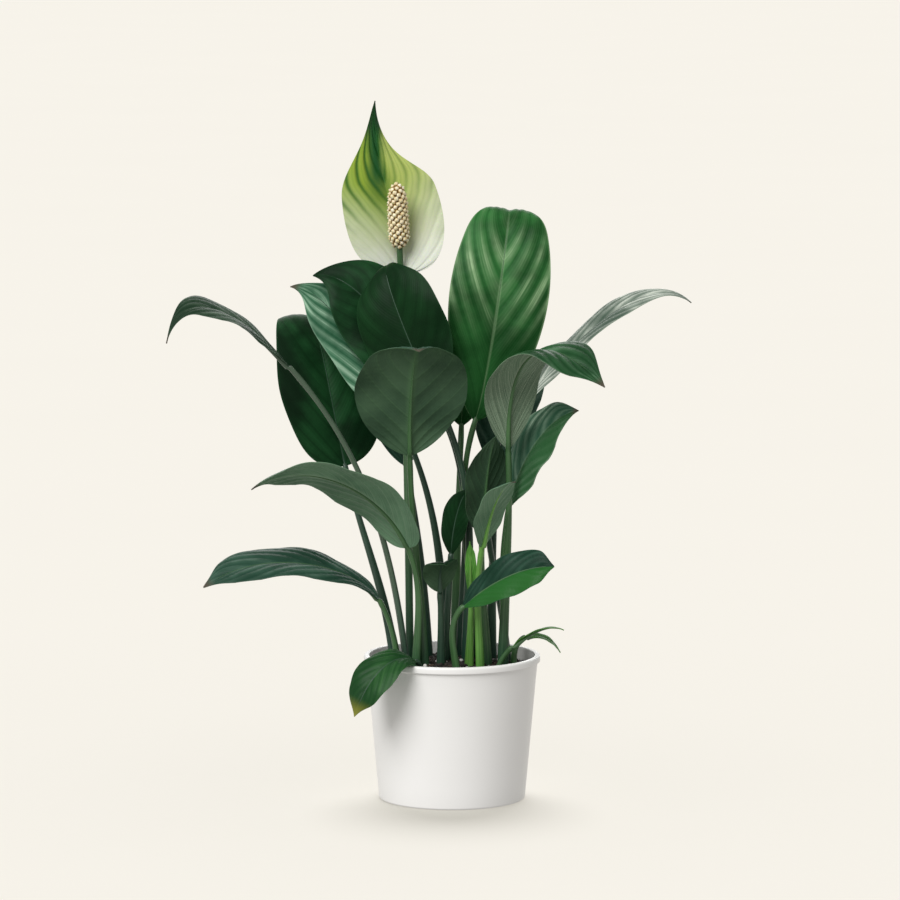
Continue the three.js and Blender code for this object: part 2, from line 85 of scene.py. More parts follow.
# %% Write materials like sums
class Look:
    """A Principled material that is built up one node at a time. Colours are in thousandths."""

    def __init__(self, name, colour, roughness, specular=0.5):
        self.material = bpy.data.materials.new(name)
        self.material.use_nodes = True
        self.tree = self.material.node_tree
        self.shader = self.tree.nodes["Principled BSDF"]
        self.base = colour
        self.put(colour, "Base Color")
        self.put(roughness, "Roughness")
        self.put(specular, "Specular IOR Level")

    def put(self, value, socket):
        """Set a socket of the shader to a constant, or link it to a node's output."""
        self.feed(value, self.shader.inputs[socket])

    def feed(self, value, socket):
        if isinstance(value, bpy.types.NodeSocket):
            self.tree.links.new(value, socket)
        elif socket.type == "RGBA":
            socket.default_value = (*(part / 1000 for part in value), 1)
        else:
            socket.default_value = value

    def node(self, kind, feeds, output, **settings):
        """Add a node, feed its inputs, and return one of its outputs."""
        made = self.tree.nodes.new("ShaderNode" + kind)
        for key, value in settings.items():
            setattr(made, key, value)
        for socket, value in feeds.items():
            self.feed(value, made.inputs[socket])
        return made.outputs[output]

    def sum(self, operation, *values):
        return self.node("Math", dict(enumerate(values)), 0, operation=operation)

    def times(self, first, second):
        return self.sum("MULTIPLY", first, second)

    def scaled(self, value, factor, offset):
        return self.sum("MULTIPLY_ADD", value, factor, offset)

    def uv(self):
        """The two coordinates of the UV map."""
        where = self.node("TexCoord", {}, "UV")
        return [self.node("SeparateXYZ", {0: where}, axis) for axis in "XY"]

    def join(self, x, y):
        return self.node("CombineXYZ", {0: x, 1: y}, 0)

    def noise(self, scale, detail=3.0, roughness=0.5, where=None):
        """Soft noise from 0 to 1, by the place on the object unless where says otherwise."""
        where = where or self.node("TexCoord", {}, "Object")
        feeds = {"Vector": where, "Scale": scale, "Detail": detail, "Roughness": roughness}
        return self.node("TexNoise", feeds, "Fac")

    def steps(self, value, low, high):
        """Smoothly from 0 at low to 1 at high, or the other way round if high is the lower."""
        feeds = {"Value": value, "From Min": low, "From Max": high}
        return self.node("MapRange", feeds, "Result", interpolation_type="SMOOTHSTEP")

    def mix(self, factor, first, second):
        feeds = {"Factor": factor, "A": first, "B": second}
        return self.node("Mix", feeds, "Result", data_type="RGBA")

    def coat(self, colour, mask, strength=None):
        """Lay a colour over the base where the mask is 1, as strongly as strength says."""
        factor = mask if strength is None else self.times(mask, strength)
        self.base = self.mix(factor, self.base, colour)
        self.put(self.base, "Base Color")

    def bump(self, height, distance):
        """Turn a height of 0 to 1 into a bump that is distance metres high."""
        feeds = {"Distance": distance, "Height": height}
        self.put(self.node("Bump", feeds, "Normal"), "Normal")


print("material kit ready")

# %% [markdown]
# ## Leaf finishes
# The upper side of a peace lily leaf is waxy and dark. Its side veins sweep from the midrib towards
# the tip, and they are sunken, so the blade between them stands up in soft ribs. The underside is
# paler and duller, and its midrib is light. The veins could be painted, but one rule stays sharp
# and serves both sides and the mesh itself, so colour and shape agree: the veins lie where
# `VEINS * (v - sweep)` is a whole number, and the sweep grows with the distance from the midrib.

# %% Veins as a pattern
VEINS = 7  # vein pairs along a blade
SWEEP = 0.42  # how far towards the tip a vein has run when it reaches the margin
SWEEP_BEND = 1.25


def leaf_pattern(look):
    """Across (0 at the midrib, 1 at the margin), along (0 at the base, 1 at the tip) and the
    vein phase, which is a whole number on each side vein."""
    across, along = look.uv()
    across = look.sum("ABSOLUTE", look.scaled(across, 2, -1))
    swept = look.times(look.sum("POWER", across, SWEEP_BEND), SWEEP)
    return across, along, look.times(look.sum("SUBTRACT", along, swept), VEINS)


def vein_lines(look, phase, count, sharpness):
    """Thin lines, count of them for each turn of the phase."""
    wave = look.sum("ABSOLUTE", look.sum("COSINE", look.times(phase, pi * count)))
    return look.sum("POWER", wave, sharpness)


def vein_streaks(look, phase, across, count, detail=3.0):
    """Uneven streaks that run as the side veins do, count of them for each turn of the phase."""
    return look.noise(1, detail, where=look.join(look.times(phase, count), across))


print("vein pairs:", VEINS)


# %% Painted highlights on the ribs' crests
def rib_light(look, pattern, shine, foot, plain, patches, even):
    """How strongly the painted highlight on the crests of the ribs shows. Shine is the most, foot the
    share of the blade that stays dark towards its base, in painted shade, and plain the share from
    which the highlight fades. Patches is the scale of the areas where it shows best, and even how much
    it shows elsewhere."""
    across, along, phase = pattern
    areas = look.steps(look.noise(patches, 4), 0.42, 0.62)
    blotches = look.steps(vein_streaks(look, phase, across, 9, 2), 0.32, 0.62)
    light = look.times(look.scaled(look.times(blotches, areas), 1 - even, even), shine)
    right = look.sum("GREATER_THAN", look.uv()[0], 0.5)
    rib = look.join(look.scaled(right, 17, look.times(phase, 1.3)), look.times(across, 0.8))
    for part in (
        # painted shade keeps the highlight off the blade's base
        look.steps(along, foot * 0.6, foot * 1.3 + 0.05),
        look.scaled(vein_streaks(look, phase, across, 70), 1.2, 0.4),
        look.scaled(look.steps(look.noise(1, 1, where=rib), 0.36, 0.6), 0.8, 0.4),
        look.scaled(look.steps(along, plain - 0.1, plain + 0.06), -0.85, 1),
    ):
        light = look.times(light, part)
    return light


print("rib light ready")


# %% Upper side
BROWN = (80, 66, 48)  # the dry end of an older leaf
UPPER = {}


def upper_finish(
    kind, deep, bright, pale_and_highlight, shine, foot=0, plain=1, patches=28.0, even=0.15,
    wax=0.1, gloss=0.36, half=None, tip=None, tip_from=0.93,
):
    """Deep and bright are the colours of the valleys and the blade. The third colour is a painted
    highlight on the ribs' crests, and also the pale midrib and margin. Deep also paints shade into the
    sunken vein lines and, as far as foot says, towards the base. The next five values are those of
    rib_light. A colour for half is painted light that shines through the half that hangs down, and one
    for tip the old end."""
    look = Look(f"leaf_{kind}", deep, gloss, wax)
    pattern = leaf_pattern(look)
    across, along, phase = pattern
    clouds = look.noise(28, 4)
    fine = vein_lines(look, phase, 6, 4)
    ridge = look.scaled(vein_lines(look, phase, 1, 1.4), -1, 1)
    midrib = look.steps(across, 0.05, 0.01)
    look.coat(bright, look.steps(clouds, 0.35, 0.7))
    # painted highlight: the pale third colour laid on the crests of the ribs
    look.coat(pale_and_highlight, ridge, rib_light(look, pattern, shine, foot, plain, patches, even))
    look.coat(pale_and_highlight, fine, 0.03)
    # painted shade in the sunken vein lines between the ribs
    look.coat(deep, vein_lines(look, phase, 1, 26), 0.35)
    look.coat(pale_and_highlight, midrib, look.scaled(along, -0.4, 0.45))
    # painted shade: the blade darkens towards its base, where other leaves shade it
    if foot:
        look.coat(deep, look.steps(along, foot * 1.2, foot * 0.5), 0.6)
    # painted light: the half that hangs down glows as if lit from behind through the blade
    if half:
        look.coat(half, look.steps(look.uv()[0], 0.505, 0.53), 0.85)
    if tip:
        look.coat(tip, look.steps(along, tip_from, 0.99))
    look.coat(pale_and_highlight, look.steps(across, 0.95, 1), 0.35)
    look.put(look.scaled(clouds, 0.2, gloss - 0.1), "Roughness")
    look.bump(look.scaled(fine, -0.3, look.times(look.noise(900, 2), 0.25)), 0.00012)
    UPPER[kind] = look.material


# lighter and darker copies with painted light and shade: dark and mottled for leaves in shade, bright
# for the tall leaf that faces the light
upper_finish("dark", (3, 17, 5), (5.5, 32, 8.5), (11, 52, 16), 0.4, wax=0.06, gloss=0.42)
upper_finish("mottled", (2, 14, 4), (9, 52, 15), (18, 85, 28), 0.35, wax=0.08, gloss=0.42)
# painted highlight: a grey sheen over the upper side of the far left leaf
upper_finish("dusty", (10, 28, 14), (32, 66, 38), (110, 160, 110), 0.9, wax=0.04, tip=BROWN)
upper_finish("mid", (12, 44, 26), (36, 96, 62), (130, 210, 160), 0.7, tip=BROWN)
upper_finish(
    "bright", (6, 46, 9), (27, 142, 33), (310, 470, 250), 1.05,
    foot=0.42, plain=0.72, patches=21.0, even=0.25, wax=0.05,
)
upper_finish("fresh", (8, 44, 11), (20, 80, 22), (50, 140, 42), 0.6, tip=(200, 200, 30), tip_from=0.8)
upper_finish("mossy", (7, 42, 12), (20, 88, 28), (110, 210, 120), 0.9, tip=BROWN)
# painted glare: near-white streaks for light glancing off the far right leaf
upper_finish("silver", (45, 80, 55), (250, 300, 250), (560, 600, 520), 1.4, wax=0.2)
# painted highlight: pale streaks of glossy light along the upper left leaf, seen at a grazing angle
upper_finish("streaky", (14, 76, 34), (60, 185, 98), (300, 470, 330), 1.5, tip=BROWN)
upper_finish("halved", (24, 80, 44), (68, 152, 92), (300, 430, 310), 1.4, half=(26, 94, 30), tip=BROWN)
upper_finish("shaded", (5, 26, 14), (12, 44, 26), (40, 100, 66), 0.6, half=(22, 120, 20))
upper_finish("young", (30, 140, 15), (75, 260, 30), (200, 450, 100), 0.7, wax=0.25)
print("upper finishes:", *UPPER)


# %% Underside
UNDER = {"young": UPPER["young"]}  # a shoot is alike on both sides


def under_finish(kind, deep, bright, vein, streakiness, tip=None):
    """Duller than the upper side, with ribs that stand out and a broad pale midrib."""
    look = Look(f"under_{kind}", deep, 0.5, 0.15)
    across, along, phase = leaf_pattern(look)
    ribs = vein_lines(look, phase, 1, 34)
    clouds = look.noise(30, 4)
    streaks = look.steps(vein_streaks(look, phase, across, 60), 0.42, 0.7)
    look.coat(bright, look.steps(clouds, 0.35, 0.7))
    look.coat(vein, streaks, streakiness)
    look.coat(vein, vein_lines(look, phase, 6, 5), 0.08)
    look.coat(vein, ribs, 0.14)
    look.coat(vein, look.steps(across, 0.12, 0), 0.5)
    if tip:
        look.coat(tip, look.steps(along, 0.93, 0.99))
    look.put(look.scaled(clouds, 0.12, 0.46), "Roughness")
    look.bump(look.scaled(ribs, 0.8, look.times(look.noise(1100, 2), 0.3)), 0.00018)
    UNDER[kind] = look.material


# lighter and darker undersides, painted for how the light falls on each leaf
under_finish("dull", (26, 60, 32), (52, 104, 54), (80, 170, 70), 0.15)
under_finish("pale", (60, 142, 75), (122, 240, 135), (300, 420, 280), 0.45, tip=BROWN)
under_finish("lined", (50, 98, 56), (98, 165, 100), (440, 540, 380), 0.75, tip=BROWN)
under_finish("grey", (36, 78, 46), (70, 126, 78), (200, 290, 210), 0.4, tip=BROWN)
under_finish("green", (10, 70, 14), (25, 130, 26), (100, 280, 70), 0.2)
print("underside finishes:", *UNDER)


# %% Stalks
STALKS = {}


def stalk_finish(kind, deep, bright, foot=(9, 52, 32)):
    """Fine lengthwise streaks, and a darker colour low down, where the sheath clasps the crown:
    painted shade where the stalks crowd together.
    """
    look = Look(f"stalk_{kind}", deep, 0.38, 0.4)
    around, along = look.uv()
    streaks = look.noise(1, 3, where=look.join(look.times(around, 60), along))
    look.coat(bright, look.steps(streaks, 0.3, 0.75))
    look.coat(bright, look.steps(look.noise(35, 3), 0.45, 0.75), 0.5)
    # painted shade low on the stalk, among the crowded stalks of the crown
    look.coat(foot, look.steps(along, 0.45, 0.02), 0.75)
    look.bump(streaks, 0.00012)
    STALKS[kind] = look.material


stalk_finish("dark", (10, 31, 19), (32, 78, 43))
stalk_finish("grey", (30, 58, 34), (110, 165, 105))
stalk_finish("green", (20, 66, 22), (66, 160, 52))
stalk_finish("bright", (60, 190, 25), (160, 360, 70), (60, 210, 35))
print("stalk finishes:", *STALKS)

# %% [markdown]
# ## Curves that a leaf follows
# A leaf hangs on one curved line: up its stalk, then along its midrib. A Bezier curve with four
# points is enough for either. Pieces are spaced along it by length, not by the curve's own
# parameter, or they would crowd where the curve turns.

# %% A curve read by length
NUDGE = 1e-4  # a small step along a curve, for its direction


class Bend:
    """A cubic Bezier curve, in millimetres, read by the share of its length."""

    PARTS = 200

    def __init__(self, *points):
        self.points = [Vector(p) for p in points]
        spots = [self.spot(i / self.PARTS) for i in range(self.PARTS + 1)]
        self.reached = [0.0]
        for here, there in zip(spots, spots[1:]):
            self.reached.append(self.reached[-1] + (there - here).length)
        self.length = self.reached[-1]

    def spot(self, t):
        a, b, c, d = self.points
        s = 1 - t
        return s * s * s * a + 3 * s * s * t * b + 3 * s * t * t * c + t * t * t * d

    def parameter(self, share):
        goal = share * self.length
        i = max(0, min(bisect.bisect_right(self.reached, goal), self.PARTS) - 1)
        part = (goal - self.reached[i]) / (self.reached[i + 1] - self.reached[i])
        return (i + part) / self.PARTS

    def point(self, share):
        return self.spot(self.parameter(share))

    def heading(self, share):
        t = min(max(self.parameter(share), NUDGE), 1 - NUDGE)
        return (self.spot(t + NUDGE) - self.spot(t - NUDGE)).normalized()


def frames_along(curve, steps, upper, roll=(0, 0)):
    """Share, point, heading, upper side and sideways direction at even steps, with no needless
    spin. Roll turns the upper side about the curve, in degrees at its start and at its end."""
    frames = []
    carried = upper
    for i in range(steps + 1):
        share = i / steps
        heading = curve.heading(share)
        carried = (carried - carried.dot(heading) * heading).normalized()
        angle = radians(roll[0] + (roll[1] - roll[0]) * share)
        up = Matrix.Rotation(angle, 3, heading) @ carried
        frames.append((share, curve.point(share), heading, up, heading.cross(up)))
    return frames


print("curve kit ready")

# %% [markdown]
# ## A leaf's outline and a blade's shape
# A blade swells near its base and has a drawn-out tip. Each half rises from the midrib and bends
# back down to the margin, which waves a little, and the ribs between the veins stand up. A sculpted
# blade would look as good, but there are 24 of them. So all of it is one formula: a blade starts as
# a flat grid from `bmesh.ops.create_grid`, and each of its points is moved to where it belongs.


# %% Outline and small sums
def lerp(a, b, share):
    return a + (b - a) * share


def bell(x):
    """1 at 0, and next to nothing beyond 2 on either side."""
    return exp(-(x**2))


def smooth(value, low, high):
    share = min(max((value - low) / (high - low), 0), 1)
    return share * share * (3 - 2 * share)


# exponents that narrow a blade at its base and at its tip, then the start and length of its tail
OUTLINES = {
    "usual": (0.72, 0.7, 0.74, 0.2),
    "oval": (0.42, 0.62, 0.8, 0.2),
    "blunt": (0.7, 0.5, 0.84, 0.12),
    "slim": (0.95, 0.95, 0.62, 0.2),
    "spathe": (0.3, 0.62, 0.42, 0.3),
}


def half_width(outline, v):
    """Half width at a share v of the length, 1 at the widest."""
    swell, close, tail_from, tail = outline
    widest = swell / (swell + close)
    full = widest**swell * (1 - widest) ** close
    narrowing = 1 + (max(0, v - tail_from) / tail) ** 3
    return v**swell * max(0, 1 - v) ** close / full / narrowing


print("half width in the middle:", round(half_width(OUTLINES["usual"], 0.5), 3))

# %% Where a point of the blade lies
TIP_HALF = 0.45  # half the width of the tip's end
CALM_BELOW = 0.35  # waves and ribs fade where the half width is under this share of the width


def blade_spot(u, frame_here, shape):
    """The place of a point that is u across, from -1 at one margin to 1 at the other."""
    share, point, _, up, side = frame_here
    slimmest = lerp(shape["base_half"], TIP_HALF, share)
    full = 0.5 * shape["width"] * half_width(OUTLINES[shape["outline"]], share)
    skew = shape["skew"] * smooth(share, 0.45, 0.75)
    half = max(slimmest, full) * (1 - skew * copysign(1, u))
    lift = radians(shape["fold"])
    bend = radians(shape["curl"])
    turned = bend * abs(u)
    out = half * (sin(lift) - sin(lift - turned)) / bend
    rise = half * (cos(lift - turned) - cos(lift)) / bend
    fade = smooth(half, 0, CALM_BELOW * shape["width"])
    wave = 2 * pi * shape["waves"] * share + shape["phase"] + u
    ripple = shape["wave"] * abs(u) ** 1.5 * sin(wave)
    relief = shape["relief"](u, share, half) * fade
    return point + side * copysign(out, u) + up * (rise + ripple * fade + relief)


print("a blade ends", 2 * TIP_HALF, "mm wide")

# %% Move a grid into a blade
COLUMN_CROWD = 1.25  # above 1, the grid's columns stand closer together near the midrib
THICK_MIDDLE, THICK_MARGIN = 0.75, 0.35


def blade_mesh(frames, shape):
    """A closed thin blade. Material 0 is its upper side, and 1 its underside and margin."""
    rows = len(frames) - 1
    bm = bmesh.new()
    uv = bm.loops.layers.uv.new("UVMap")
    bmesh.ops.create_grid(bm, x_segments=shape["across"], y_segments=rows, size=1.0)
    tops = list(bm.verts)
    thickness = {}
    spread = {}
    for vert in tops:
        u = copysign(abs(vert.co.x) ** COLUMN_CROWD, vert.co.x)
        here = frames[round((vert.co.y + 1) / 2 * rows)]
        thickness[vert] = here[3] * lerp(THICK_MIDDLE, THICK_MARGIN, abs(u) ** 2)
        spread[vert] = (u / 2 + 0.5, here[0])
        vert.co = blade_spot(u, here, shape)
    for face in bm.faces:
        face.smooth = True
        for loop in face.loops:
            loop[uv].uv = spread[loop.vert]
    doubled = bmesh.ops.duplicate(bm, geom=list(bm.faces))
    under = [f for f in doubled["geom"] if isinstance(f, bmesh.types.BMFace)]
    for vert in tops:
        doubled["vert_map"][vert].co = vert.co - thickness[vert]
    bmesh.ops.reverse_faces(bm, faces=under)
    rim = [edge for edge in bm.edges if edge.is_boundary]
    margin = bmesh.ops.bridge_loops(bm, edges=rim)["faces"]
    for face in under + margin:
        face.material_index = 1
    for edge in rim:
        edge.smooth = False
    return bm


print("a blade is", THICK_MIDDLE, "mm thick, and", THICK_MARGIN, "at the margin")

# %% [markdown]
# ## Quilting
# Between two side veins the blade stands up in a soft rib, and along the midrib it dips into a
# channel. A bump in the material could feign both, but the outline would stay smooth. They follow the
# material's vein rule, so the dark vein lines, which are painted shade, lie in the valleys of the
# mesh.

# %% Ribs between the veins
RIB_ROUND = 0.7  # below 1, a rib is broad with a narrow valley
RIB_SINK = 0.6  # how far a valley lies below the plain blade, as a share of the rib
CHANNEL_DEPTH = 0.45
CHANNEL_HALF = 1.6


def quilting(height):
    """A relief for blade_spot: ribs of this height, and the midrib's channel."""

    def relief(u, v, half):
        across = abs(u)
        phase = VEINS * (v - SWEEP * across**SWEEP_BEND)
        rib = abs(sin(pi * phase)) ** RIB_ROUND - RIB_SINK
        reach = smooth(across, 0.02, 0.2) * (1 - 0.6 * smooth(across, 0.7, 1.0))
        channel = bell(across * half / CHANNEL_HALF)
        return height * rib * reach - CHANNEL_DEPTH * channel

    return relief


print("rib height at the widest", round(quilting(0.7)(0.5, 0.5, 30), 2), "mm")

# %% [markdown]
# ## Stalks
# A stalk is a long tapered rod, thicker and flatter where it clasps the crown, with a shallow
# channel on its upper side. A curve with a bevel would be quicker, but it stays round. So the rod
# is a cone from `bmesh.ops.create_cone`, which is cut into rings and then laid along its curve. The
# same rod carries on under the blade as the midrib.

# %% Lay a rod along a list of sections
ROD_SIDES = 14
CHANNEL_SPREAD = 0.5  # radians round the rod


def rod_mesh(sections, sides=ROD_SIDES, material=2, channel=0.0):
    """A closed rod through sections of (centre, side, up, wide, deep, share)."""
    bm = bmesh.new()
    uv = bm.loops.layers.uv.new("UVMap")
    bmesh.ops.create_cone(bm, cap_ends=True, segments=sides, radius1=1, radius2=1, depth=1)
    long_edges = [e for e in bm.edges if abs(e.verts[0].co.z - e.verts[1].co.z) > 0.5]
    last = len(sections) - 1
    bmesh.ops.subdivide_edges(bm, edges=long_edges, cuts=last - 1, use_grid_fill=True)
    turn = {}
    for vert in bm.verts:
        centre, side, up, wide, deep, share = sections[round((vert.co.z + 0.5) * last)]
        angle = atan2(vert.co.y, vert.co.x)
        dip = 1 - channel * bell((angle - pi / 2) / CHANNEL_SPREAD)
        turn[vert] = (angle / (2 * pi) + 0.5, share)
        vert.co = centre + side * (wide * dip * cos(angle)) + up * (deep * dip * sin(angle))
    for face in bm.faces:
        face.smooth = len(face.verts) == 4
        face.material_index = material
        turns = [turn[loop.vert][0] for loop in face.loops]
        for loop in face.loops:
            around, share = turn[loop.vert]
            if max(turns) - min(turns) > 0.5 and around < 0.5:
                around += 1
            loop[uv].uv = (around, share)
    bmesh.ops.recalc_face_normals(bm, faces=bm.faces)
    return bm


print("a stalk has", ROD_SIDES, "sides")

# %% Put parts together as one piece
MM = Matrix.Scale(0.001, 4)


def mesh_object(name, bm):
    """Turn a bmesh into an object in the scene."""
    mesh = bpy.data.meshes.new(name)
    bm.to_mesh(mesh)
    bm.free()
    made = bpy.data.objects.new(name, mesh)
    scene.collection.objects.link(made)
    return made


def make_piece(name, parts, materials, node):
    """Join bmeshes that are in millimetres into one object in metres, on the node's place."""
    whole = bmesh.new()
    for part in parts:
        loose = bpy.data.meshes.new("part")
        part.to_mesh(loose)
        part.free()
        whole.from_mesh(loose)
        bpy.data.meshes.remove(loose)
    piece = mesh_object(name, whole)
    piece.data.transform(MM)
    for material in materials:
        piece.data.materials.append(material)
    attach(piece, "root")
    if node:
        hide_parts(node)
    return piece


print("piece kit ready")

# %% [markdown]
# ## The leaves
# Every leaf has its own place in the crown, its own bend and its own roll. The four points of each
# midrib and the widths are those of the CAD solids that the pieces stand for. One leaf could be copied
# and turned, but no two on the plant are alike. The finishes are lighter and darker copies with
# painted light and shade: the leaves in shade are painted nearly black-green, the tall one that faces
# the light is painted bright, and those that lean forward show their dull undersides, painted paler or
# darker by how the light falls on each.

# %% List the leaves
BLADE = {"across": 30, "along": 132, "fold": 16, "curl": 30, "wave": 1.6, "waves": 2.6, "skew": 0}
# outline, upper side, underside and stalk; foot in the crown; width; the points that bend the
# midrib; then the blade's roll at its base and at its tip, if it is rolled
LEAVES = {
    "leaf_lower_left": ("blunt mid dull green", (-38, -19), 42,
        ((-53, -22, 150), (-68, -26, 178), (-140, -42, 196), (-181, -50, 164)), (-24, -20)),
    "leaf_far_left": ("slim dusty grey grey", (-31, -10), 42,
        ((-118, -16, 321), (-160, -26, 370), (-198, -37, 386), (-207, -46, 342)), (-18, -26)),
    "leaf_mid_left": ("oval mid pale green", (-27, -25), 58,
        ((-32, -30, 190), (-48, -38, 232), (-104, -62, 266), (-145, -74, 239)), (30, 30)),
    "leaf_back_left": ("oval mottled dull dark", (-40, -2), 78,
        ((-79, 30, 243), (-92, 38, 300), (-104, 68, 385), (-113, 98, 335))),
    "leaf_upper_left": ("usual streaky pale dark", (-3, 10), 50,
        ((-36, 24, 272), (-60, 38, 322), (-95, 48, 378), (-120, 54, 374)), (-60, -60)),
    "leaf_top_left": ("usual mottled dull dark", (7, 18), 66,
        ((-12, 24, 290), (-42, 35, 342), (-72, 42, 390), (-103, 46, 383)), (-78, -66)),
    "leaf_top_centre": ("usual dark dull dark", (11, 2), 70,
        ((-9, 2, 290), (-32, 4, 335), (-58, 17, 400), (-46, 38, 391))),
    "leaf_front_centre": ("usual mid dull green", (-20, -18), 84,
        ((-31, -22, 257), (-32, -28, 300), (-26, -44, 350), (-24, -66, 338))),
    "leaf_top_right": ("usual bright dull green", (21, 8), 74,
        ((17, 10, 279), (33, 12, 330), (46, 24, 472), (42, 70, 420))),
    "leaf_bent_right": ("usual mossy lined green", (37, -14), 52,
        ((41, -20, 262), (38, -24, 334), (64, -48, 362), (110, -72, 313)), (-50, 28)),
    "leaf_far_right": ("usual silver pale dark", (42, 10), 35,
        ((42, 14, 276), (77, 15, 328), (140, 16, 396), (176, 14, 366)), (20, 20)),
    "leaf_mid_right": ("usual halved green green", (39, -3), 50,
        ((42, -3, 218), (48, -6, 250), (70, -15, 288), (92, -28, 291)), (62, 52)),
    "leaf_small_front": ("usual mid pale bright", (21, -27), 32,
        ((22, -27, 190), (26, -32, 212), (34, -42, 242), (46, -54, 242))),
    "leaf_small_middle": ("usual mid dull green", (27, -12), 38,
        ((22, -14, 196), (23, -15, 222), (26, -18, 262), (32, -26, 272))),
    "leaf_small_back": ("usual dark dull dark", (-6, 0), 22,
        ((-1, -6, 182), (0, -7, 204), (6, -9, 228), (13, -10, 231)), (70, 70)),
    "leaf_lower_right": ("blunt shaded green green", (5, -30), 34,
        ((8, -38, 148), (22, -43, 163), (50, -54, 182), (74, -62, 181)), (58, 58)),
    "leaf_low_centre": ("usual dark dull dark", (-8, -14), 27,
        ((-9, -20, 156), (-10, -24, 172), (-8, -36, 186), (-4, -48, 180))),
    "leaf_over_rim": ("usual fresh green dark", (-24, -37), 35,
        ((-26, -46, 109), (-38, -57, 120), (-60, -67, 108), (-71, -69, 72)), (-14, -30)),
    "leaf_rear_left": ("usual mid dull dark", (-17, 20), 58,
        ((-34, 52, 240), (-46, 78, 300), (-66, 126, 322), (-80, 150, 280))),
    "leaf_rear": ("usual bright dull green", (2, 27), 60,
        ((7, 54, 270), (9, 76, 322), (11, 132, 346), (12, 162, 288))),
    "leaf_rear_right": ("usual mid dull dark", (29, 20), 54,
        ((34, 48, 238), (40, 74, 300), (50, 118, 326), (60, 146, 296))),
    "shoot_right": ("usual young young green", (30, -20), 9,
        ((44, -24, 116), (54, -26, 126), (70, -30, 136), (82, -32, 130)), (-20, 0)),
    "shoot_right_low": ("usual young young green", (46, -13), 8,
        ((54, -15, 122), (62, -15, 126), (74, -14, 122), (80, -12, 110)), (20, 0)),
    "shoot_spear": ("usual young young bright", (12, -17), 9,
        ((14, -18, 152), (14, -18, 164), (14, -20, 180), (13, -23, 194))),
}
print(len(LEAVES), "leaves and shoots")

# %% Frames of one leaf
FOOT_DEPTH = 80  # height of the stalks' buried ends
STALK_RISE = 0.4  # how far up a stalk stands nearly straight, as a share of its length
STALK_SPREAD = 0.12  # how much of the way sideways it has gone there
STALK_CARRY = 0.35  # how far it keeps the blade's direction, as a share of its length
STALK_STEPS = 56


def stalk_bend(top, heading, node, foot, carry, spread):
    """A stalk's curve, from its top to its buried end, with its length counted from node."""
    buried = Vector((*foot, FOOT_DEPTH))
    reach = (node - buried).length
    crown = buried.lerp(node, spread)
    crown.z = FOOT_DEPTH + STALK_RISE * reach
    return Bend(top, top - carry * reach * heading, crown, buried)


def leaf_frames(foot, midrib, roll):
    """Frames along the blade, and down the stalk from the blade to its buried end."""
    curve = Bend(*midrib)
    bulge = curve.point(0.5) - (curve.points[0] + curve.points[3]) / 2
    start = curve.heading(0)
    upper = (bulge - bulge.dot(start) * start).normalized()
    blade = frames_along(curve, BLADE["along"], upper, roll)
    base = curve.points[0]
    down = stalk_bend(base, blade[0][2], base, foot, STALK_CARRY, STALK_SPREAD)
    return blade, frames_along(down, STALK_STEPS, blade[0][3])


print("stalks end", FOOT_DEPTH, "mm above the pot's underside")

# %% Sections of a stalk and its midrib
TOP_RADIUS = 1.9  # of a stalk, where the blade begins
FOOT_WIDE, FOOT_DEEP = 4.5, 2.8  # half axes of the sheath at the foot
WRAP = 1.3  # a higher one keeps the widening closer to the foot
KNEE_SWELL, KNEE_AT, KNEE_LONG = 0.16, 0.05, 0.045  # the thicker joint just below the blade
RIB_REACH = 0.94  # share of the blade that the midrib follows
RIB_TIP = 0.3  # its radius at the end
RIB_LOW = 0.85  # how far it hangs below the blade, in its own radii


def stalk_sections(blade, stalk):
    """Up the stalk, then on under the blade as a midrib that fades out near the tip."""
    sections = []
    for share, point, _, up, side in reversed(stalk):
        wrap = share**WRAP
        knee = 1 + KNEE_SWELL * bell((share - KNEE_AT) / KNEE_LONG)
        wide = lerp(TOP_RADIUS, FOOT_WIDE, wrap) * knee
        deep = lerp(TOP_RADIUS, FOOT_DEEP, wrap) * knee
        sections.append((point, -side, up, wide, deep, 1 - share))
    for share, point, _, up, side in blade[2::3]:
        if share > RIB_REACH:
            break
        radius = lerp(TOP_RADIUS, RIB_TIP, min(1, share / 0.9) ** 0.75)
        lowered = point - up * (RIB_LOW * radius + 0.3 * smooth(share, 0, 0.1))
        sections.append((lowered, side, up, radius, radius, 1 + share))
    return sections


print("a stalk tapers from", 2 * FOOT_WIDE, "to", 2 * TOP_RADIUS, "mm")

# %% Grow the leaves
RIB_HEIGHT = 1.9
FULL_WIDTH = 60  # a blade this wide or wider has waves and ribs in full
PHASE_STEP = 1.7  # so that no two blades wave alike
USUAL_RIBBING = 0.6
RIBBING = {"dark": 0.15, "mottled": 0.12, "fresh": 0.5, "halved": 0.5, "shaded": 0.5, "young": 0.4}


def grow_leaf(index, name, looks, foot, width, midrib, roll=(0, 0)):
    blade, stalk = leaf_frames(foot, midrib, roll)
    outline, upper, under, stalk_kind = looks.split()
    grown = min(1, width / FULL_WIDTH)
    shape = {
        **BLADE, "outline": outline, "width": width, "wave": BLADE["wave"] * grown,
        "phase": index * PHASE_STEP, "base_half": TOP_RADIUS * 0.9,
        "relief": quilting(RIBBING.get(upper, USUAL_RIBBING) * RIB_HEIGHT * grown),
    }
    parts = [blade_mesh(blade, shape), rod_mesh(stalk_sections(blade, stalk), channel=0.14)]
    materials = [UPPER[upper], UNDER[under], STALKS[stalk_kind]]
    return make_piece(f"{name}_fine", parts, materials, name)


for index, (name, leaf) in enumerate(LEAVES.items()):
    piece = grow_leaf(index, name, *leaf)
print("last leaf has", len(piece.data.polygons), "faces")

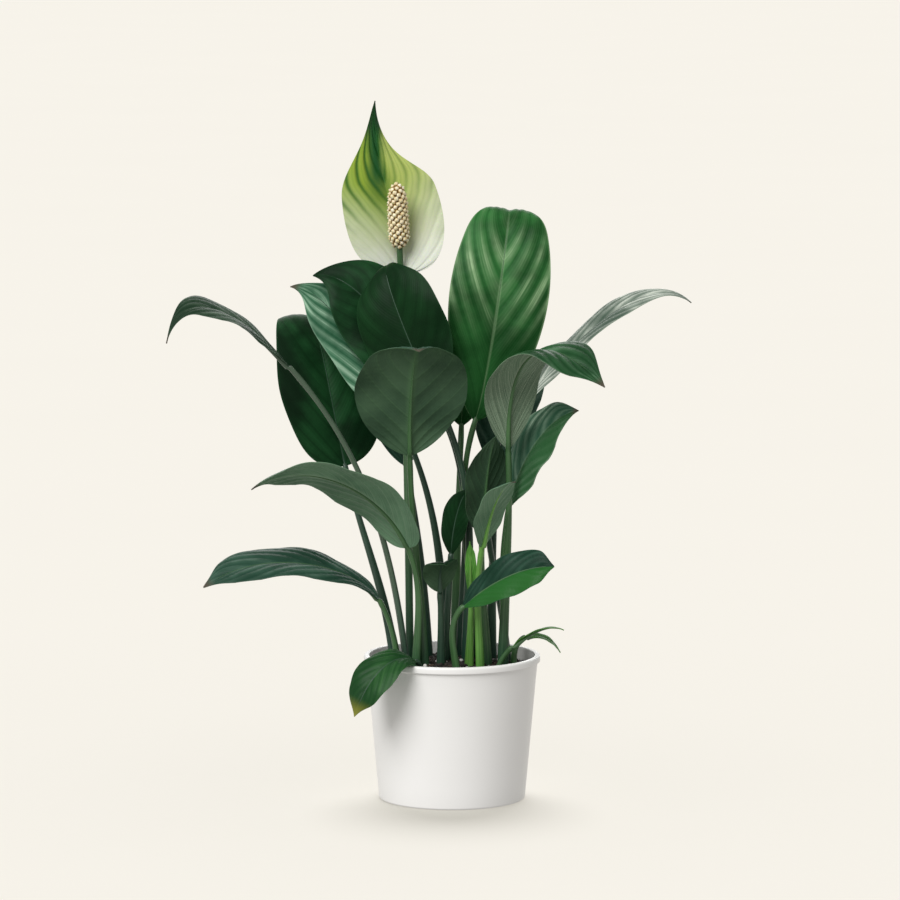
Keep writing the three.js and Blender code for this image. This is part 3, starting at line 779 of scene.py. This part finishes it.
# %% [markdown]
# ## The bloom
# The spathe is a modified leaf: greenish white, and greener towards its tip, where its veins run
# together. They run lengthwise here, not sideways. It could be modelled by hand, but the grid that
# makes a leaf makes it too, with its own outline. Its finish blends white, yellow-green and dark
# green by where a point lies on the blade.

# %% Spathe finish
SPATHE_VEINS = 7
SPATHE_SWEEP = 0.5


def spathe_finish(name, dim):
    """White at the base, yellow-green above, with dark streaks that run out from the midrib."""
    look = Look(name, (600, 680, 500), 0.42, 0.2)
    across, along = look.uv()
    signed = look.scaled(across, 2, -1)
    outward = look.sum("ABSOLUTE", signed)
    left = look.steps(signed, 0.5, -0.25)
    clouds = look.noise(45, 4)
    reach = look.sum("SUBTRACT", look.scaled(clouds, 0.2, along), look.times(outward, 0.2))
    pale = look.mix(look.steps(clouds, 0.3, 0.7), (500, 560, 360), (620, 650, 500))
    pale = look.mix(look.steps(along, 0, 0.25), (700, 730, 640), pale)
    green = look.mix(left, (420, 500, 130), (290, 410, 45))
    look.base = look.mix(look.steps(reach, 0.10, 0.58), pale, green)
    look.coat((14, 110, 20), look.steps(reach, 0.66, 0.84))
    look.coat((8, 42, 20), look.steps(along, 0.76, 0.88))
    swept = look.sum("SUBTRACT", along, look.times(outward, SPATHE_SWEEP))
    swept = look.scaled(clouds, 0.05, swept)
    broad = vein_lines(look, swept, SPATHE_VEINS, 6)
    thin = vein_lines(look, swept, 2 * SPATHE_VEINS, 9)
    height = look.steps(along, 0.2, 0.6)
    look.coat((30, 130, 15), broad, look.times(height, look.scaled(left, 0.55, 0.35)))
    look.coat((80, 200, 20), thin, look.scaled(height, 0.16, 0.05))
    aside = look.sum("ABSOLUTE", look.sum("ADD", signed, 0.14))
    midrib = look.steps(aside, 0.42, 0.02)
    look.coat((12, 100, 22), midrib, look.steps(along, 0.32, 0.62))
    if dim:
        look.coat((160, 300, 80), 0.25)
    look.put(0.15, "Subsurface Weight")
    look.put((0.004, 0.006, 0.002), "Subsurface Radius")
    look.bump(look.times(broad, -1), 0.0004)
    return look.material


spathe_face = spathe_finish("spathe_face", dim=False)
spathe_back = spathe_finish("spathe_back", dim=True)
print("spathe finishes ready")

# %% Shape the spathe
SPATHE = ((-38, 58.4, 383), (-37, 74, 420), (-62, 80, 470), (-57, 66, 511))
SPATHE_ROWS = 150
TO_THE_FRONT = Vector((0, -1, 0))


def spathe_relief(u, v, half):
    """Low folds between the veins that fade out at the base, and a channel along the midrib."""
    phase = SPATHE_VEINS * (v - SPATHE_SWEEP * abs(u))
    fold = -0.35 * cos(2 * pi * phase) * smooth(v, 0.1, 0.5)
    return fold * (1 - smooth(abs(u), 0.8, 1)) - 0.5 * bell(u * half / 2.2)


spathe_curve = Bend(*SPATHE)
spathe_shape = {
    "outline": "spathe", "across": 48, "width": 77, "fold": 30, "curl": 24, "wave": 1.2,
    "waves": 1.6, "skew": 0.22, "phase": 0.5, "base_half": 3, "relief": spathe_relief,
}
hood = blade_mesh(frames_along(spathe_curve, SPATHE_ROWS, TO_THE_FRONT), spathe_shape)
make_piece("spathe_fine", [hood], [spathe_face, spathe_back], "spathe")
print("spathe length", round(spathe_curve.length), "mm")

# %% [markdown]
# ## The spadix
# The finger in front of the spathe is packed with florets, small blunt cushions with a point in the
# middle, and the gaps between them are painted brown for their shade. A bump map would leave the
# finger's outline smooth, so each floret is real. They follow a spiral that turns by the golden angle
# from one to the next, as real florets do, so no rows line up.

# %% Where the bloom stands
BLOOM_FOOT = (-31, 4)
BLOOM_NODE = Vector((-38, 56, 384))
SPADIX_TIP = Vector((-41, 49, 452))
STIPE = 20  # bare stalk between the node and the spadix
SPADIX_RADIUS = 7.9
CLEARANCE = 0.3

spadix_axis = (SPADIX_TIP - BLOOM_NODE).normalized()
stalk_top = BLOOM_NODE + STIPE * spadix_axis
spadix_start = stalk_top + CLEARANCE * spadix_axis
spadix_length = (SPADIX_TIP - spadix_start).length
spadix_side = Vector((1, 0, 0)).cross(spadix_axis).normalized()
spadix_other = spadix_axis.cross(spadix_side)


def spadix_body(share):
    """Radius of the finger at a share of its length."""
    return SPADIX_RADIUS * min(1, 0.6 + 3 * share) * sqrt(max(0, 1 - share**7))


print("spadix", round(spadix_length), "mm long")


# %% Spadix finishes
look = Look("floret_cream", (720, 620, 360), 0.5)
speckle = look.noise(420, 2)
top = look.steps(look.uv()[1], 0.6, 0.88)  # by the height that a floret's UV map holds
cream = look.mix(look.steps(speckle, 0.3, 0.7), (700, 570, 290), (900, 840, 640))
# painted shade: each floret turns brown towards its base, for the shade in the gaps between florets
look.put(look.mix(top, (320, 190, 40), cream), "Base Color")
look.put(0.2, "Subsurface Weight")
look.put((0.003, 0.002, 0.001), "Subsurface Radius")
look.bump(speckle, 0.0002)
floret_cream = look.material

# the core shows only in the gaps between the florets, and its dark brown is painted shade there
look = Look("spadix_core", (200, 110, 30), 0.7)
grain = look.noise(300)
look.put(look.mix(look.steps(grain, 0.3, 0.7), (60, 30, 10), (200, 120, 30)), "Base Color")
look.bump(grain, 0.0003)
spadix_core = look.material
print("spadix finishes ready")

# %% One floret and the core
FILLED = 0.985  # share of the finger's length that the core and the florets' roots fill
CORE_STEPS = 40
CORE_INSET = 2.0
SHOULDERS = 0.22
POINT_HEIGHT, POINT_RADIUS = 0.45, 0.32
FLATNESS = 0.72


def along_spadix(share):
    return spadix_start + spadix_axis * (share * spadix_length)


def core_section(share):
    radius = max(1.0, spadix_body(share) - CORE_INSET)
    return along_spadix(share), spadix_side, spadix_other, radius, radius, share


def floret(where, outward, spin, size):
    """A low cushion with four shoulders and a small point, whose UV height is 1 at its top."""
    bm = bmesh.new()
    uv = bm.loops.layers.uv.new("UVMap")
    bmesh.ops.create_icosphere(bm, subdivisions=2, radius=1.0)
    turn = outward.to_track_quat("Z", "Y").to_matrix() @ Matrix.Rotation(spin, 3, "Z")
    for face in bm.faces:
        face.smooth = True
        for loop in face.loops:
            loop[uv].uv = (loop.vert.co.x / 2 + 0.5, loop.vert.co.z / 2 + 0.5)
    for vert in bm.verts:
        x, y, z = vert.co
        shoulder = 1 + SHOULDERS * cos(4 * atan2(y, x)) * (1 - abs(z))
        peak = POINT_HEIGHT * bell(hypot(x, y) / POINT_RADIUS) if z > 0 else 0
        local = Vector((x * shoulder, y * shoulder, FLATNESS * z + peak)) * size
        vert.co = where + turn @ local
    return bm


print("the core ends at", FILLED, "of the finger")

# %% Set the florets on their spiral
GOLDEN = pi * (3 - sqrt(5))
FLORETS = 150
AREA_STEPS = 400
ROOT_INSET = 1.6  # how deep a floret's middle lies below the finger's skin
SIZES = (1.8, 2.05)

draw = random.Random(41)
areas = [0.0]
for i in range(AREA_STEPS):
    areas.append(areas[-1] + spadix_body((i + 0.5) / AREA_STEPS))
florets = []
for i in range(FLORETS):
    goal = (i + 0.5) / FLORETS * areas[-1]
    share = bisect.bisect_left(areas, goal) / AREA_STEPS
    angle = i * GOLDEN
    around = spadix_side * cos(angle) + spadix_other * sin(angle)
    lean = smooth(share, 0.78, 1.0)
    outward = (around + spadix_axis * (1.6 * lean)).normalized()
    where = along_spadix(share * FILLED) + around * max(0.4, spadix_body(share) - ROOT_INSET)
    florets.append(floret(where, outward, draw.uniform(0, pi), draw.uniform(*SIZES)))
core_line = [core_section(FILLED * i / CORE_STEPS) for i in range(CORE_STEPS + 1)]
core = rod_mesh(core_line, sides=24, material=1)
make_piece("spadix_fine", [core, *florets], [floret_cream, spadix_core], "spadix")
print(FLORETS, "florets")

# %% Flower stalk
BLOOM_RADIUS, BLOOM_FOOT_RADIUS = 2.3, 3
BLOOM_CARRY, BLOOM_SPREAD = 0.3, 0.1
NODE_SWELL, NODE_LONG = 0.18, 1.8  # the ring where the spathe grows

bloom_curve = stalk_bend(
    stalk_top, spadix_axis, BLOOM_NODE, BLOOM_FOOT, BLOOM_CARRY, BLOOM_SPREAD
)
sections = []
for share, point, _, up, side in reversed(frames_along(bloom_curve, 110, TO_THE_FRONT)):
    from_node = share * bloom_curve.length - STIPE
    radius = lerp(BLOOM_RADIUS, BLOOM_FOOT_RADIUS, share)
    radius *= 1 + NODE_SWELL * bell(from_node / NODE_LONG)
    sections.append((point, -side, up, radius, radius, 1 - share))
stem = rod_mesh(sections, sides=18, material=0)
make_piece("flower_stalk_fine", [stem], [STALKS["green"]], "flower_stalk")
print("flower stalk", round(bloom_curve.length), "mm long")

# %% [markdown]
# ## The soil
# Potting mix is a dark mass of crumbs and bark bits with a few white grains of perlite. A rough
# surface alone would look like clay, so the mass and the crumbs are made apart. The mass is a grid
# that is pressed into a disc, raised by noise and given sides. The crumbs and grains are small
# lumps, placed by a seeded random draw, so the scene comes out the same each time.

# %% Soil surface
POT_HEIGHT = 107
RIM_INSIDE = 61
FOOT_INSIDE = 51.5
SOIL_EDGE = 96  # height where the soil meets the wall
SOIL_BASE = 3.3
CROWN_RISE = 6
CLOD = 1.1  # height of the lumps


def inner_radius(height):
    return lerp(FOOT_INSIDE, RIM_INSIDE, height / POT_HEIGHT)


def soil_height(x, y):
    share = hypot(x, y) / inner_radius(SOIL_EDGE)
    lumps = sin(x * 0.31 + 1) * cos(y * 0.27) + 0.6 * sin(x * 0.17 - y * 0.43)
    return SOIL_EDGE + CROWN_RISE * (1 - share * share) + CLOD * lumps


print("soil stands", round(soil_height(0, 0), 1), "mm high in the middle")


# %% Soil finishes
def soil_finish(name, dark, light):
    look = Look(name, dark, 0.9)
    grain = look.noise(420, 5, 0.7)
    look.coat(light, look.steps(grain, 0.35, 0.7))
    look.put(look.scaled(grain, 0.3, 0.7), "Roughness")
    look.bump(grain, 0.0015)
    return look.material


soil_dark = soil_finish("soil_dark", (8, 6, 5), (40, 28, 20))
bark_brown = soil_finish("bark_brown", (22, 12, 7), (75, 45, 26))
perlite_white = soil_finish("perlite_white", (550, 540, 500), (800, 790, 760))
print("soil finishes: dark, bark, perlite")

# %% Press a grid into the pot
SOIL_CELLS = 110
ROUGHNESS = 0.9  # height of the noise on the soil
CALM_EDGE = 3  # width of the ring at the wall where the noise fades out

bm = bmesh.new()
bmesh.ops.create_grid(bm, x_segments=SOIL_CELLS, y_segments=SOIL_CELLS, size=1.0)
top_radius = inner_radius(SOIL_EDGE) - 2 * CLEARANCE
for vert in bm.verts:
    x, y = vert.co.xy
    x, y = x * sqrt(1 - y * y / 2) * top_radius, y * sqrt(1 - x * x / 2) * top_radius
    rough = noise.fractal(Vector((x, y, 0)) * 0.22, 0.9, 2.1, 4)
    calm = 1 - smooth(hypot(x, y), top_radius - CALM_EDGE, top_radius)
    vert.co = (x, y, soil_height(x, y) + ROUGHNESS * rough * calm)
for face in bm.faces:
    face.smooth = True
bmesh.ops.extrude_edge_only(bm, edges=[edge for edge in bm.edges if edge.is_boundary])
low_edges = [edge for edge in bm.edges if edge.is_boundary]
base_radius = inner_radius(SOIL_BASE) - 2 * CLEARANCE
for vert in {vert for edge in low_edges for vert in edge.verts}:
    vert.co = (*vert.co.xy.normalized() * base_radius, SOIL_BASE)
bmesh.ops.contextual_create(bm, geom=low_edges)
bmesh.ops.recalc_face_normals(bm, faces=bm.faces)
make_piece("soil_mass", [bm], [soil_dark], "soil")
print("soil mass:", SOIL_CELLS * SOIL_CELLS, "cells on top")


# %% Scatter crumbs, bark and perlite
draw = random.Random(7)


def lump(where, size, flat, material):
    """One knobbly lump. Bark, which is material 1, keeps its flat faces."""
    bm = bmesh.new()
    bmesh.ops.create_icosphere(bm, subdivisions=2, radius=1.0)
    offset = Vector((draw.uniform(-50, 50), draw.uniform(-50, 50), 0))
    turn = Matrix.Rotation(draw.uniform(0, 6.28), 3, "Z")
    tilt = Matrix.Rotation(draw.uniform(-0.6, 0.6), 3, "X")
    for vert in bm.verts:
        knobs = 1 + 0.45 * noise.noise(vert.co * 1.4 + offset)
        spot = Vector((vert.co.x * 1.2, vert.co.y * 0.9, vert.co.z * flat)) * (knobs * size)
        vert.co = where + turn @ (tilt @ spot)
    for face in bm.faces:
        face.smooth = material != 1
        face.material_index = material
    return bm


def scatter(count, low, high, flat, material):
    """Lumps of low to high millimetres in radius, spread evenly over the soil."""
    lumps = []
    for _ in range(count):
        size = draw.uniform(low, high)
        radius = (top_radius - size - 0.8) * sqrt(draw.random())
        angle = draw.uniform(0, 2 * pi)
        x, y = radius * cos(angle), radius * sin(angle)
        where = Vector((x, y, soil_height(x, y) + 0.35 * size * flat))
        lumps.append(lump(where, size, flat, material))
    return lumps


crumbs = scatter(620, 0.8, 2.1, 0.75, 0) + scatter(120, 1.4, 3.0, 0.35, 1)
make_piece("soil_crumbs", crumbs, [soil_dark, bark_brown], None)
grains = scatter(80, 0.7, 1.7, 0.85, 0)
make_piece("perlite_grains", grains, [perlite_white], None)
print(len(crumbs), "crumbs and", len(grains), "grains")

# %% [markdown]
# ## The pot
# The pot is injection moulded: one smooth tapered wall, a slim lip and a floor with drain holes. A
# cylinder could be tapered and hollowed, but a profile that `bmesh.ops.spin` turns gives every edge
# its own small radius to catch the light. A Boolean, applied at once, drills the floor.


# %% Pot finish
look = Look("pot_white", (800, 790, 765), 0.36)
clouds = look.noise(14)
look.put(look.mix(clouds, (810, 800, 775), (860, 850, 835)), "Base Color")
look.put(look.scaled(clouds, 0.12, 0.32), "Roughness")
look.bump(look.noise(700, 2), 0.00004)
pot_white = look.material
print("pot finish ready")

# %% Turn the pot
FOOT_RADIUS = 54
LIP_RADIUS = 65
UNDER_LIP = 63.5
LIP_HEIGHT = 5
CORNER = 1.6  # rounding of the foot and of the rim
INSIDE_CORNER = 2
UNDER_ROUND, LIP_ROUND, RIM_ROUND = 0.8, 0.6, 0.8
FLOOR = 3
POT_STEPS = 160


def corner_points(x, z, radius, start, end, steps):
    """Points round a corner in the profile, from one angle to another, in degrees."""
    points = []
    for i in range(steps + 1):
        angle = radians(lerp(start, end, i / steps))
        points.append((x + radius * cos(angle), z + radius * sin(angle)))
    return points


lip_low = POT_HEIGHT - LIP_HEIGHT
wall_top = UNDER_LIP - UNDER_ROUND / 2
rim_corner = (RIM_INSIDE + RIM_ROUND, POT_HEIGHT - RIM_ROUND)
floor_corner = (inner_radius(FLOOR) - INSIDE_CORNER, FLOOR + INSIDE_CORNER)
profile = [
    (0, 0),
    *corner_points(FOOT_RADIUS - CORNER, CORNER, CORNER, -90, -5, 6),
    *[(lerp(FOOT_RADIUS, wall_top, s / 8), lerp(CORNER, lip_low, s / 8)) for s in range(1, 8)],
    *corner_points(UNDER_LIP + UNDER_ROUND / 2, lip_low - UNDER_ROUND, UNDER_ROUND, 180, 90, 4),
    *corner_points(LIP_RADIUS - LIP_ROUND, lip_low + LIP_ROUND, LIP_ROUND, -90, 0, 4),
    *corner_points(LIP_RADIUS - CORNER, POT_HEIGHT - CORNER, CORNER, 0, 90, 6),
    *corner_points(*rim_corner, RIM_ROUND, 90, 180, 4),
    *[(inner_radius(h), h) for h in (90, 70, 50, 30, 10)],
    *corner_points(*floor_corner, INSIDE_CORNER, 0, -90, 4),
    (0, FLOOR),
]
bm = bmesh.new()
ring = [bm.verts.new((x, 0, z)) for x, z in profile]
edges = [bm.edges.new(pair) for pair in zip(ring, ring[1:])]
bmesh.ops.spin(
    bm, geom=ring + edges, axis=(0, 0, 1), cent=(0, 0, 0), angle=2 * pi, steps=POT_STEPS,
    use_merge=True,
)
bmesh.ops.remove_doubles(bm, verts=bm.verts, dist=0.001)
bmesh.ops.recalc_face_normals(bm, faces=bm.faces)
for face in bm.faces:
    face.smooth = True
pot = make_piece("pot_fine", [bm], [pot_white], "pot")
print("pot faces", len(pot.data.polygons))

# %% Drill the drain holes
DRAIN_HOLES, DRAIN_RADIUS, DRAIN_CIRCLE = 5, 3.5, 32

bm = bmesh.new()
for i in range(DRAIN_HOLES):
    angle = 2 * pi * i / DRAIN_HOLES
    spot = Matrix.Translation((DRAIN_CIRCLE * cos(angle), DRAIN_CIRCLE * sin(angle), 0))
    bmesh.ops.create_cone(
        bm, cap_ends=True, segments=32, radius1=DRAIN_RADIUS, radius2=DRAIN_RADIUS,
        depth=3 * FLOOR, matrix=spot,
    )
drill = mesh_object("drill", bm)
drill.data.transform(MM)
cut = pot.modifiers.new("drain_holes", "BOOLEAN")
cut.object = drill
cut.solver = "EXACT"
drilled = bpy.data.meshes.new_from_object(pot.evaluated_get(bpy.context.evaluated_depsgraph_get()))
pot.modifiers.clear()
pot.data = drilled
bpy.data.objects.remove(drill)
print("pot faces after drilling", len(pot.data.polygons))

# %% [markdown]
# ## Floor and light
# The floor is pale and a little warm, fills the view, and glows a little, so it stays even. A large
# soft key light stands at the upper left, a weaker rim light behind the plant, and the pale
# surroundings fill the rest. One lamp can't shape the leaves and keep the floor even as well. So
# light linking keeps these two off the floor, which has a backdrop light of its own. Only the pot
# blocks that one, for a short soft shadow at its foot.


# %% Floor
FLOOR_HALF = 60  # metres

look = Look("floor_pale", (900, 870, 800), 0.9, 0)
look.put(look.mix(look.noise(3, 2), (695, 680, 640), (705, 690, 650)), "Base Color")
look.put((1000, 960, 830), "Emission Color")
look.put(0.22, "Emission Strength")

bm = bmesh.new()
bmesh.ops.create_grid(bm, x_segments=8, y_segments=8, size=FLOOR_HALF)
floor = mesh_object("floor", bm)
floor.data.materials.append(look.material)
floor.visible_diffuse = False
print("floor", 2 * FLOOR_HALF, "metres wide")

# %% Surroundings
world = bpy.data.worlds.new("studio")
world.use_nodes = True
surroundings = world.node_tree.nodes["Background"].inputs
surroundings["Color"].default_value = (1.0, 0.985, 0.96, 1)
surroundings["Strength"].default_value = 0.5
scene.world = world
scene.view_settings.view_transform = "Standard"
print("surroundings at", surroundings["Strength"].default_value)


# %% Lights
def light_group(name, thing, link_state):
    """A collection that tells a light which things it reaches, or which ones block it."""
    group = bpy.data.collections.new(name)
    group.objects.link(thing)
    group.collection_objects[0].light_linking.link_state = link_state
    return group


def sun_light(name, azimuth, elevation, power, softness, lit, blockers=None):
    """A soft light from azimuth degrees right of the camera, elevation degrees up."""
    data = bpy.data.lights.new(name, "SUN")
    data.energy = power
    data.angle = radians(softness)
    light = bpy.data.objects.new(name, data)
    light.rotation_euler = (radians(90 - elevation), 0, radians(azimuth))
    scene.collection.objects.link(light)
    light.light_linking.receiver_collection = lit
    light.light_linking.blocker_collection = blockers
    return data


all_but_floor = light_group("all_but_floor", floor, "EXCLUDE")
only_floor = light_group("only_floor", floor, "INCLUDE")
only_pot = light_group("only_pot", pot, "INCLUDE")
sun_light("key", -33, 42, 2.65, 38, all_but_floor)
sun_light("rim", 172, 20, 1.0, 50, all_but_floor)
backdrop = sun_light("backdrop", 180, 58, 1.92, 44, only_floor, only_pot)
backdrop.color = (1.0, 0.985, 0.99)
print("lights: key, rim and backdrop")
